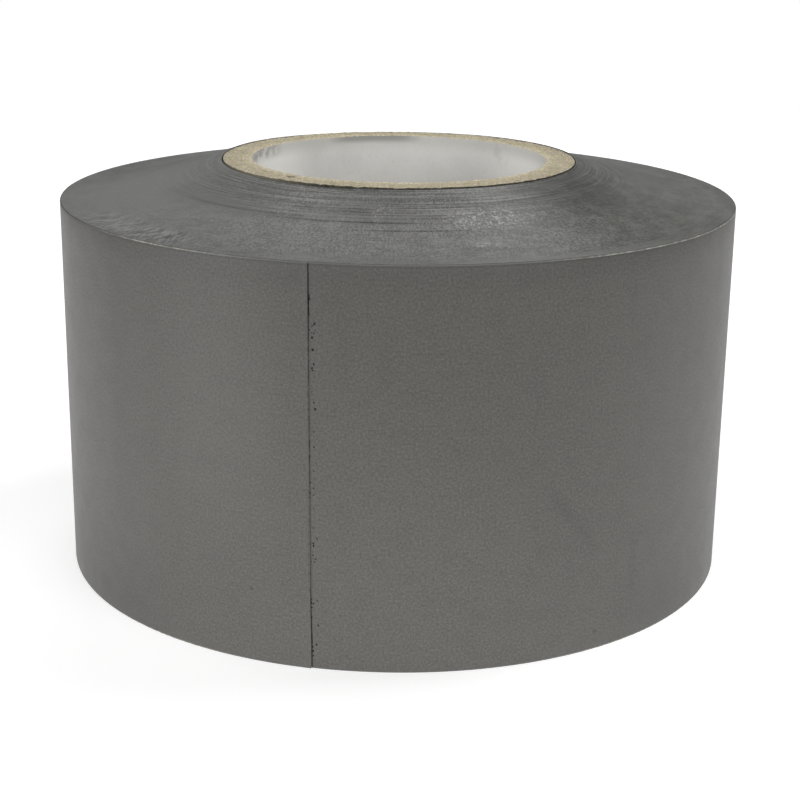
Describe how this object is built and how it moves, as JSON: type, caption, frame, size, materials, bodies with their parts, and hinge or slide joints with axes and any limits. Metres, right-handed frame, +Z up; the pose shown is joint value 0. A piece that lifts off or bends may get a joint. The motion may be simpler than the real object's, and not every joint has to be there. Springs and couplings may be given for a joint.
{
  "type": "adhesive tape roll",
  "caption": "Full roll of wide grey plastic adhesive tape wound on a chipboard core, its turns crept into a shallow cone, with a free end that peels back.",
  "frame": {"origin": "on the core's axis, at the level of the outermost turn's lower edge, which the roll stands on", "axes": "+Z up along the core; -Y is the front, where the tape's free end is, a little to the -X side"},
  "size_m": [0.0872, 0.0872, 0.0527],
  "materials": {
    "lining": "matte uncoated white paper",
    "chipboard": "raw cut tan-grey chipboard",
    "tape": "satin mid-grey film"
  },
  "bodies": {
    "roll": {"core_liner": "lining", "core_ply_1": "chipboard", "core_ply_2": "chipboard", "core_ply_3": "chipboard", "core_ply_4": "chipboard", "core_ply_5": "chipboard", "core_ply_6": "chipboard", "core_ply_7": "chipboard", "core_ply_8": "chipboard", "wound_tape": "tape", "outer_turn": "tape"},
    "free_end_1": {"free_end_1": "tape"},
    "free_end_2": {"free_end_2": "tape"},
    "free_end_3": {"free_end_3": "tape"},
    "free_end_4": {"free_end_4": "tape"},
    "free_end_5": {"free_end_5": "tape"},
    "free_end_6": {"free_end_6": "tape"}
  },
  "joints": [
    {"name": "peel_1", "type": "hinge", "parent": "roll", "child": "free_end_1", "pos_m": [-0.02966, -0.03208, 0.024], "axis": [0, 0, -1], "range_deg": [0, 35]},
    {"name": "peel_2", "type": "hinge", "parent": "free_end_1", "child": "free_end_2", "pos_m": [-0.02676, -0.03454, 0.024], "axis": [0, 0, -1], "range_deg": [0, 36]},
    {"name": "peel_3", "type": "hinge", "parent": "free_end_2", "child": "free_end_3", "pos_m": [-0.02365, -0.03674, 0.024], "axis": [0, 0, -1], "range_deg": [0, 22]},
    {"name": "peel_4", "type": "hinge", "parent": "free_end_3", "child": "free_end_4", "pos_m": [-0.02037, -0.03866, 0.024], "axis": [0, 0, -1], "range_deg": [0, 9]},
    {"name": "peel_5", "type": "hinge", "parent": "free_end_4", "child": "free_end_5", "pos_m": [-0.01692, -0.04029, 0.024], "axis": [0, 0, -1], "range_deg": [0, 5.5]},
    {"name": "peel_6", "type": "hinge", "parent": "free_end_5", "child": "free_end_6", "pos_m": [-0.01335, -0.04161, 0.024], "axis": [0, 0, -1], "range_deg": [0, 5.5]}
  ],
  "couplings": [
    {"joint": "peel_2", "follows": "peel_1", "ratio": 1},
    {"joint": "peel_3", "follows": "peel_1", "ratio": 0.6},
    {"joint": "peel_4", "follows": "peel_1", "ratio": 0.25},
    {"joint": "peel_5", "follows": "peel_1", "ratio": 0.15},
    {"joint": "peel_6", "follows": "peel_1", "ratio": 0.15}
  ]
}
